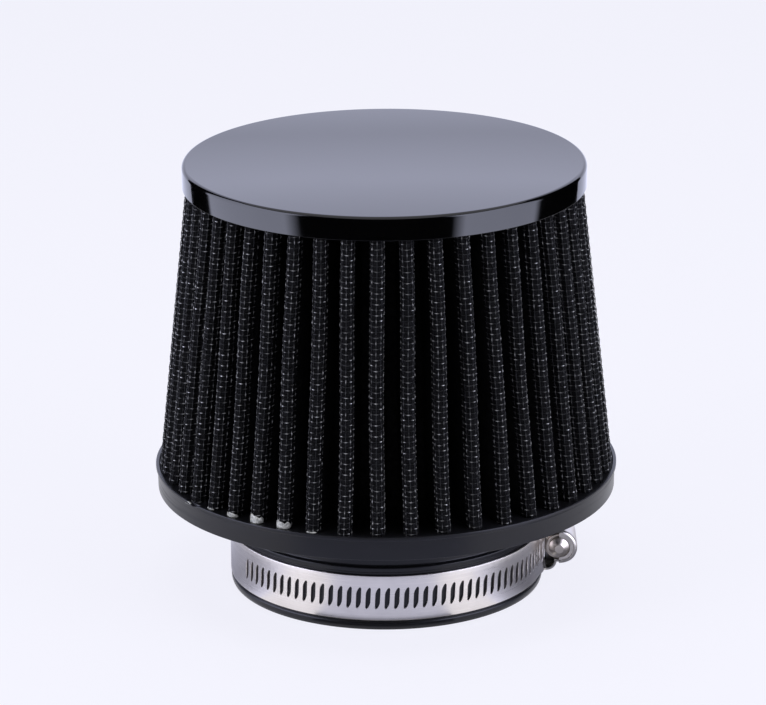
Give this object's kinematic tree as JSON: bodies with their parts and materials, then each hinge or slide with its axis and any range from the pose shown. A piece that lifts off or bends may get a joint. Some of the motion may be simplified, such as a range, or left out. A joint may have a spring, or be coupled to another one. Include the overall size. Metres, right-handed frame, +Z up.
{
  "type": "performance air filter",
  "caption": "Clamp-on conical engine air filter with a pleated black gauze and wire pack, gloss black cap, rubber base with a round neck, and a slotted steel worm-drive clamp.",
  "frame": {"origin": "centre of the open lower end of the neck, on the filter's axis", "axes": "+Z up along the filter's axis from the neck to the cap, -Y is the front in the picture, +X is the side of the clamp's screw"},
  "size_m": [0.1264, 0.1264, 0.1186],
  "materials": {
    "cap_black": "gloss black",
    "potting": "satin",
    "screen_wire": "satin black wire",
    "gauze": "matte oiled cotton",
    "base_rubber": "satin black rubber",
    "band_steel": "fine brushed",
    "housing_steel": "bright stamped",
    "screw_steel": "bright turned"
  },
  "bodies": {
    "root": {"top_cap": "cap_black", "cap_potting": "potting", "outer_screen": "screen_wire", "filter_gauze": "gauze", "inner_screen": "screen_wire", "rubber_base": "base_rubber", "clamp_band": "band_steel", "clamp_housing": "housing_steel", "clamp_screw": "screw_steel"}
  },
  "joints": []
}
